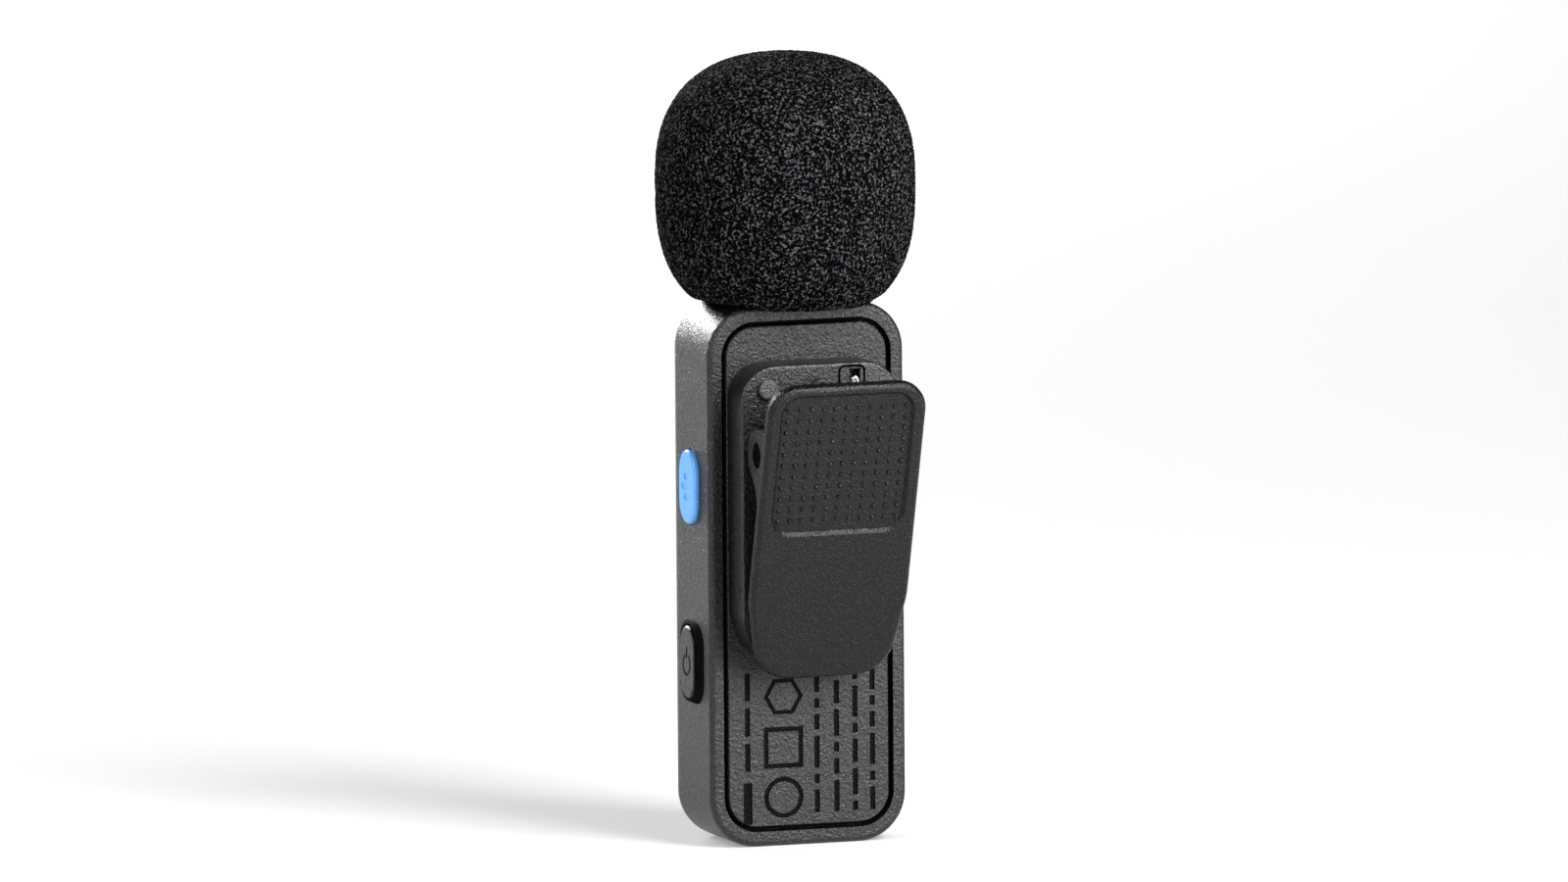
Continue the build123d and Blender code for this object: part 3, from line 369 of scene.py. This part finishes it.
# How each material slot is made, and with what
RECIPES = {
    "case_plastic": (moulded, {"colour": BLACK_CASE}),
    "cover_plastic": (moulded, {"colour": BLACK_CASE, "painted_shade_from": MARK_FLOOR_SHADE}),
    "clip_plastic": (moulded, {"colour": BLACK_CASE, "roughness": 0.33, "depth": 0.1 * MM, "gloss": 0.6}),
    "lever_plastic": (moulded, {"colour": BLACK_LEVER, "roughness": 0.3, "depth": 0.1 * MM, "gloss": 0.28}),
    "bumper_plastic": (moulded, {"colour": grey(0.03), "speckle": 0.6, "gloss": 0.7}),
    "anchor_plastic": (moulded, {"colour": grey(0.01), "speckle": 0.6}),
    "key_plastic": (
        moulded,
        {"colour": BLACK_CASE, "depth": 0.08 * MM, "gloss": 0.4, "painted_shade_from": KEY_WALL_SHADE},
    ),
    "blue_plastic": (
        moulded,
        {
            "colour": KEY_BLUE,
            "roughness": 0.38,
            "grain": 0.12 * MM,
            "depth": 0.005 * MM,
            "speckle": 0.06,
            "wear": 0.1,
        },
    ),
    "neck_plastic": (moulded, {"colour": grey(0.03)}),
    "switch_plastic": (moulded, {"colour": grey(0.05), **SMALL_GRAIN}),
    "plunger_plastic": (moulded, {"colour": (0.6, 0.6, 0.56), "wear": 0.0, **SMALL_GRAIN}),
    "tongue_plastic": (moulded, {"colour": grey(0.02), **SMALL_GRAIN}),
    "chip_epoxy": (moulded, {"colour": grey(0.02), "grain": 0.06 * MM, "depth": 0.004 * MM}),
    # The power key's bezel is painted near black with almost no reflection: painted shade beside the key
    "bezel_rubber": (rubbery, {"colour": grey(0.002), "roughness": 0.7, "gloss": 0.02}),
    "boot_rubber": (rubbery, {"colour": grey(0.02)}),
    "tape_foam": (rubbery, {"colour": grey(0.02), "roughness": 0.85}),
    "lead_insulation": (
        glossy,
        {"colour": (0.35, 0.02, 0.02), "second": (0.28, 0.015, 0.015), "roughness": 0.35},
    ),
    "pin_steel": (metal, {"colour": grey(0.12), "roughness": 0.4, "along": ALONG_X}),
    "spring_steel": (metal, {"colour": (0.9, 0.9, 0.89), "roughness": 0.22}),
    "zinc_steel": (metal, {"colour": (0.6, 0.6, 0.58), "roughness": 0.3, "along": ALONG_Y}),
    "port_steel": (metal, {"colour": (0.55, 0.55, 0.54), "roughness": 0.28}),
    "shield_steel": (metal, {"colour": (0.65, 0.65, 0.63), "roughness": 0.35, "along": ALONG_X}),
    "battery_pouch": (metal, {"colour": (0.6, 0.6, 0.62), "roughness": 0.45, "along": (1, 1, 6)}),
    "capsule_aluminium": (metal, {"colour": grey(0.65), "roughness": 0.3, "along": (1, 1, 8)}),
    "black_steel": (painted, {"colour": grey(0.02), "roughness": 0.35}),
    "grille_metal": (painted, {"colour": grey(0.02), "roughness": 0.45}),
    "board_laminate": (
        glossy,
        {"colour": (0.01, 0.08, 0.04), "second": (0.008, 0.06, 0.03), "roughness": 0.3},
    ),
    "antenna_ceramic": (
        glossy,
        {"colour": (0.75, 0.74, 0.7), "second": (0.7, 0.69, 0.65), "roughness": 0.3},
    ),
    "led_body": (glossy, {"colour": (0.85, 0.83, 0.7), "second": (0.8, 0.78, 0.6), "roughness": 0.15}),
    "clear_plastic": (clear, {"colour": (0.85, 0.87, 0.88)}),
    "mesh_cloth": (woven, {"colour": grey(0.01)}),
    "foam": (foamy, {"dark": BLACK_FOAM, "light": FOAM_STRUT_HIGHLIGHT}),
}

finishes = {name: make(name, **settings) for name, (make, settings) in RECIPES.items()}

for entry in frame["record"]["subparts"]:
    node = frame["nodes"][entry["node"]]
    for material_slot in node.material_slots:
        material_slot.material = finishes[entry["material_slot"]]


def add_piece(name, mesh, body, slot_name):
    """A new object in the scene with a finish, which moves with a CAD body."""
    piece = bpy.data.objects.new(name, mesh)
    bpy.context.scene.collection.objects.link(piece)
    mesh.materials.clear()
    mesh.materials.append(finishes[slot_name])
    if body is not None:
        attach(piece, body)
    return piece


# ---------------------------------------------------------------- foam windscreen

FOAM_CENTRE_Z = 54.0 * MM
FOAM_ROUNDNESS_UP = 2.46
FOAM_ROUNDNESS_DOWN = 2.75
FOAM_HALF_HEIGHT_DOWN = 11.5 * MM
FOAM_LIP_RADIUS = 0.9 * MM
FOAM_BORE_RADIUS = 3.85 * MM
FOAM_BORE_TOP_Z = 52.7 * MM
FOAM_BORE_EDGE = 1.0 * MM
FOAM_PROUD = 0.1 * MM
FOAM_SHIFT = 0.1 * MM
DROOP = 0.4 * MM
DROOP_TOP = 47.0 * MM
DROOP_START_Y = 5.1 * MM
DROOP_FULL_Y = 6.2 * MM
FOAM_VOXEL = 0.15 * MM
PORE_SIZE = 0.40 * MM
PORE_DEPTH = 0.26 * MM
# Share of the pore height from the large pores, the small pores' size beside them, and the unevenness
LARGE_PORES = 0.65
SMALL_PORE_SIZE = 0.62
PORE_NOISE = 0.10
# Seeds on each square of surface one pore wide, and how far they stray, in pore sizes
SEED_SHARE = 1.25
SEED_STRAY = 0.12
# How much nearer one seed is than the next, in pore sizes, where a wall has ended
WALL_WIDTH = 0.75
# The bore's wall is pressed in only a little
BORE_REACH = 1.05
BORE_MARGIN = 0.5 * MM
BORE_PRESS = 0.3
OUTLINE_STEPS = 48
# The outline's point that gives the direction in which the lip runs out
LIP_RUN = 6
LIP_MARGIN = 0.1 * MM
FOAM_SEGMENTS = 96
ON_AXIS = 0.001 * MM


def superellipse(radius, half_height, roundness, angle):
    power = 2 / roundness
    return Vector((radius * math.cos(angle) ** power, half_height * math.sin(angle) ** power))


def rounded_corner(before, corner, after, radius, steps=8):
    """Points of an arc that rounds the corner between two runs of an outline."""
    incoming = (before - corner).normalized()
    outgoing = (after - corner).normalized()
    half_turn = incoming.angle(outgoing) / 2
    reach = radius / math.tan(half_turn)
    centre = corner + (incoming + outgoing).normalized() * (radius / math.sin(half_turn))
    start = corner + incoming * reach - centre
    end = corner + outgoing * reach - centre
    sweep = start.angle_signed(end)
    return [centre + Matrix.Rotation(-sweep * step / steps, 2) @ start for step in range(steps + 1)]


def foam_profile():
    """Radius and height along the foam's outline: down its bore, round the lip and up to its crown."""
    low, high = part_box("foam_windscreen")
    radius = high.x
    up = high.z - FOAM_CENTRE_Z
    floor_share = (FOAM_CENTRE_Z - low.z) / FOAM_HALF_HEIGHT_DOWN
    floor_angle = math.asin(floor_share ** (FOAM_ROUNDNESS_DOWN / 2))
    lower = []
    for step in range(OUTLINE_STEPS + 1):
        angle = floor_angle * (1 - step / OUTLINE_STEPS)
        point = superellipse(radius, FOAM_HALF_HEIGHT_DOWN, FOAM_ROUNDNESS_DOWN, angle)
        lower.append(Vector((point.x, FOAM_CENTRE_Z - point.y)))
    upper = []
    for step in range(1, OUTLINE_STEPS + 1):
        point = superellipse(radius, up, FOAM_ROUNDNESS_UP, math.pi / 2 * step / OUTLINE_STEPS)
        upper.append(Vector((point.x, FOAM_CENTRE_Z + point.y)))
    bore_centre = Vector((0, FOAM_BORE_TOP_Z))
    bore_corner = Vector((FOAM_BORE_RADIUS, FOAM_BORE_TOP_Z))
    bore_mouth = Vector((FOAM_BORE_RADIUS, low.z))
    lip = rounded_corner(bore_mouth, lower[0], lower[LIP_RUN], FOAM_LIP_RADIUS)
    lower = [point for point in lower if point.y > lip[-1].y + LIP_MARGIN]
    bore_edge = rounded_corner(bore_centre, bore_corner, bore_mouth, FOAM_BORE_EDGE)
    return [bore_centre, *bore_edge, bore_mouth, *lip, *lower, *upper]


def turned(profile, segments):
    """A closed mesh made by turning an outline, which starts and ends on the axis, about Z."""
    shape = bmesh.new()
    rings = []
    for point in profile:
        if point.x < ON_AXIS:
            rings.append([shape.verts.new((0, 0, point.y))])
            continue
        ring = []
        for s in range(segments):
            angle = 2 * math.pi * s / segments
            ring.append(shape.verts.new((point.x * math.cos(angle), point.x * math.sin(angle), point.y)))
        rings.append(ring)
    for ring, following in zip(rings, rings[1:]):
        for s in range(segments):
            corners = [ring[s % len(ring)], ring[(s + 1) % len(ring)]]
            corners += [following[(s + 1) % len(following)], following[s % len(following)]]
            shape.faces.new(list(dict.fromkeys(corners)))
    bmesh.ops.recalc_face_normals(shape, faces=shape.faces)
    mesh = bpy.data.meshes.new("turned")
    shape.to_mesh(mesh)
    shape.free()
    return mesh


def remeshed(mesh, voxel):
    """The same closed shape with an even net of small faces."""
    carrier = bpy.data.objects.new("carrier", mesh)
    bpy.context.scene.collection.objects.link(carrier)
    modifier = carrier.modifiers.new("remesh", "REMESH")
    modifier.mode = "VOXEL"
    modifier.voxel_size = voxel
    graph = bpy.context.evaluated_depsgraph_get()
    result = bpy.data.meshes.new_from_object(carrier.evaluated_get(graph))
    bpy.data.objects.remove(carrier)
    return result


def vertex_arrays(mesh):
    places = np.empty(len(mesh.vertices) * 3, np.float32)
    mesh.vertices.foreach_get("co", places)
    normals = np.empty(len(mesh.vertices) * 3, np.float32)
    mesh.vertices.foreach_get("normal", normals)
    return places.reshape(-1, 3).astype(float), normals.reshape(-1, 3).astype(float)


def pore_height(places, spacing, random):
    """Height of a web of cell walls at each place: 1 on a wall, towards 0 in the middle of a cell."""
    count = int(len(places) * (FOAM_VOXEL / spacing) ** 2 * SEED_SHARE)
    seeds = places[random.choice(len(places), count, replace=False)]
    seeds = seeds + random.normal(0, spacing * SEED_STRAY, seeds.shape)
    tree = kdtree.KDTree(len(seeds))
    for index, seed in enumerate(seeds):
        tree.insert(seed, index)
    tree.balance()
    nearest = np.array([[found[2] for found in tree.find_n(place, 2)] for place in places])
    gap = (nearest[:, 1] - nearest[:, 0]) / spacing
    return np.clip(1 - gap / WALL_WIDTH, 0, 1)


def make_foam():
    """The foam windscreen: an even net pressed in at every pore, so the outline is ragged too."""
    random = np.random.default_rng(SEED)
    mesh = remeshed(turned(foam_profile(), FOAM_SEGMENTS), FOAM_VOXEL)
    places, normals = vertex_arrays(mesh)
    large = pore_height(places, PORE_SIZE, random)
    small = pore_height(places, PORE_SIZE * SMALL_PORE_SIZE, random)
    height = LARGE_PORES * large + (1 - LARGE_PORES) * small
    height = np.clip(height + random.normal(0, PORE_NOISE, len(height)), 0, 1)
    inside = np.hypot(places[:, 0], places[:, 1]) < FOAM_BORE_RADIUS * BORE_REACH
    hollow = inside & (places[:, 2] < FOAM_BORE_TOP_Z + BORE_MARGIN)
    push = FOAM_PROUD - PORE_DEPTH * (1 - height)
    push[hollow] = -np.abs(push[hollow]) * BORE_PRESS
    places = places + normals * push[:, None]
    beyond = np.clip((np.abs(places[:, 1]) - DROOP_START_Y) / (DROOP_FULL_Y - DROOP_START_Y), 0, 1)
    lowness = np.clip((DROOP_TOP - places[:, 2]) / (DROOP_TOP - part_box("foam_windscreen")[0].z), 0, 1)
    places[:, 2] -= DROOP * beyond * lowness
    places[:, 0] += FOAM_SHIFT
    mesh.vertices.foreach_set("co", places.astype(np.float32).ravel())
    attribute = mesh.attributes.new("pore_height", "FLOAT", "POINT")
    attribute.data.foreach_set("value", height.astype(np.float32))
    mesh.shade_smooth()
    mesh.update()
    piece = add_piece("foam_ball", mesh, "windscreen", "foam")
    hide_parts("foam_windscreen")


make_foam()

# ---------------------------------------------------------------- torsion spring

WELD_DISTANCE = 0.0005 * MM


def make_spring():
    """The torsion spring: the CAD wire welded into one smooth mesh, attached to no body."""
    shape = bmesh.new()
    shape.from_mesh(frame["nodes"]["torsion_spring"].data)
    bmesh.ops.remove_doubles(shape, verts=shape.verts, dist=WELD_DISTANCE)
    mesh = bpy.data.meshes.new("torsion_spring_wire")
    shape.to_mesh(mesh)
    shape.free()
    mesh.shade_smooth()
    piece = add_piece("torsion_spring_wire", mesh, None, "spring_steel")
    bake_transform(piece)
    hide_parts("torsion_spring")


make_spring()

# ---------------------------------------------------------------- thumb pad bumps

LEVER_TILT = 16.8
LEVER_FRONT = 2.84 * MM
PAD_DEPTH = 0.28 * MM
PAD_MIDDLE = 0.06 * MM
BUMP_PITCH_ACROSS = 1.02 * MM
BUMP_PITCH_ALONG = 0.98 * MM
BUMP_COUNT = 11
BUMP_RADIUS = 0.2 * MM
BUMP_HEIGHT = 0.2 * MM
BUMP_SUNK = 0.02 * MM
BUMP_RINGS = 4
BUMP_SEGMENTS = 14


def add_dome(shape, foot, out, across, along):
    """One closed dome that stands on a point, with a short straight foot below it."""
    loops = []
    for ring in range(BUMP_RINGS + 1):
        lift = math.pi / 2 * max(ring - 1, 0) / BUMP_RINGS
        radius = BUMP_RADIUS * math.cos(lift)
        height = -BUMP_SUNK if ring == 0 else BUMP_HEIGHT * math.sin(lift)
        loop = []
        for s in range(BUMP_SEGMENTS):
            angle = 2 * math.pi * s / BUMP_SEGMENTS
            spoke = (across * math.cos(angle) + along * math.sin(angle)) * radius
            loop.append(shape.verts.new(foot + out * height + spoke))
        loops.append(loop)
    crown = shape.verts.new(foot + out * BUMP_HEIGHT)
    shape.faces.new(loops[0][::-1])
    for lower, upper in zip(loops, loops[1:]):
        for s in range(BUMP_SEGMENTS):
            following = (s + 1) % BUMP_SEGMENTS
            shape.faces.new((lower[s], lower[following], upper[following], upper[s]))
    for s in range(BUMP_SEGMENTS):
        shape.faces.new((loops[-1][s], loops[-1][(s + 1) % BUMP_SEGMENTS], crown))


def make_pad_bumps():
    """Rows of small domes on the lever's thumb pad, each one closed and sunk a little into the pad."""
    hinge = next(joint for joint in frame["joints"] if joint["name"] == "lever_hinge")
    axis_point = Vector(hinge["pos_m"])
    tilt = math.radians(LEVER_TILT)
    out = Vector((0, -math.cos(tilt), -math.sin(tilt)))
    along = Vector((0, -math.sin(tilt), math.cos(tilt)))
    across = Vector((1, 0, 0))
    middle = (BUMP_COUNT - 1) / 2
    shape = bmesh.new()
    for row in range(BUMP_COUNT):
        for column in range(BUMP_COUNT):
            x = (column - middle) * BUMP_PITCH_ACROSS
            z = (row - middle) * BUMP_PITCH_ALONG + PAD_MIDDLE
            foot = axis_point + across * x + along * z + out * (LEVER_FRONT - PAD_DEPTH)
            add_dome(shape, foot, out, across, along)
    bmesh.ops.recalc_face_normals(shape, faces=shape.faces)
    mesh = bpy.data.meshes.new("thumb_pad_bumps")
    shape.to_mesh(mesh)
    shape.free()
    mesh.shade_smooth()
    add_piece("thumb_pad_bumps", mesh, "clip_lever", "lever_plastic")


make_pad_bumps()

# ---------------------------------------------------------------- floor and light

FLOOR_REACH = 6.0
WORLD_BRIGHTNESS = 0.06
FLOOR_GLOW = 0.28
# Name, azimuth, elevation, distance, size and brightness of each soft box
SOFT_LIGHTS = [
    ("key_low", 27, 18, 0.28, (0.12, 0.15), 13.0),
    ("key_strip", 24, -2.6, 0.28, (0.11, 0.018), 20.0),
    ("key_high", 28, 46, 0.6, (0.26, 0.2), 28.0),
    ("back_high", 187, 19, 1.0, (0.5, 0.2), 38.0),
    ("side_left", -65, 32, 1.0, (0.5, 0.5), 8.0),
]


def make_floor():
    """A large pale floor with a faint tone and a faint glow of its own."""
    shader = Shader("floor")
    slow = shader.noise(0.4, 2.0)
    colour = shader.between(shader.spread(slow, 0.0, 1.0), grey(0.44), grey(0.46))
    shader.link(colour, shader.surface.inputs["Base Color"])
    shader.set(
        Roughness=0.9,
        Specular_IOR_Level=0.1,
        Emission_Color=(1.0, 1.0, 1.0, 1.0),
        Emission_Strength=FLOOR_GLOW,
    )
    corners = [(x * FLOOR_REACH, y * FLOOR_REACH, 0) for x, y in ((-1, -1), (1, -1), (1, 1), (-1, 1))]
    mesh = bpy.data.meshes.new("floor")
    mesh.from_pydata(corners, [], [range(len(corners))])
    floor = bpy.data.objects.new("floor", mesh)
    mesh.materials.append(shader.material)
    bpy.context.scene.collection.objects.link(floor)


def soft_light(name, azimuth, elevation, distance, size, brightness):
    """A soft box that looks at the microphone from a direction and a distance."""
    towards = outward(azimuth, elevation)
    data = bpy.data.lights.new(name, "AREA")
    data.shape = "RECTANGLE"
    data.size, data.size_y = size
    data.energy = brightness * math.pi * size[0] * size[1]
    light = bpy.data.objects.new(name, data)
    light.location = TARGET + towards * distance
    light.rotation_mode = "QUATERNION"
    light.rotation_quaternion = towards.to_track_quat("Z", "Y")
    light.visible_camera = False
    bpy.context.scene.collection.objects.link(light)


def make_lights():
    world = bpy.data.worlds.new("studio")
    world.use_nodes = True
    background = world.node_tree.nodes["Background"]
    background.inputs["Color"].default_value = (1.0, 1.0, 1.0, 1.0)
    background.inputs["Strength"].default_value = WORLD_BRIGHTNESS
    bpy.context.scene.world = world
    for light in SOFT_LIGHTS:
        soft_light(*light)
    bpy.context.scene.view_settings.view_transform = "Standard"


make_floor()
make_lights()
make_camera()
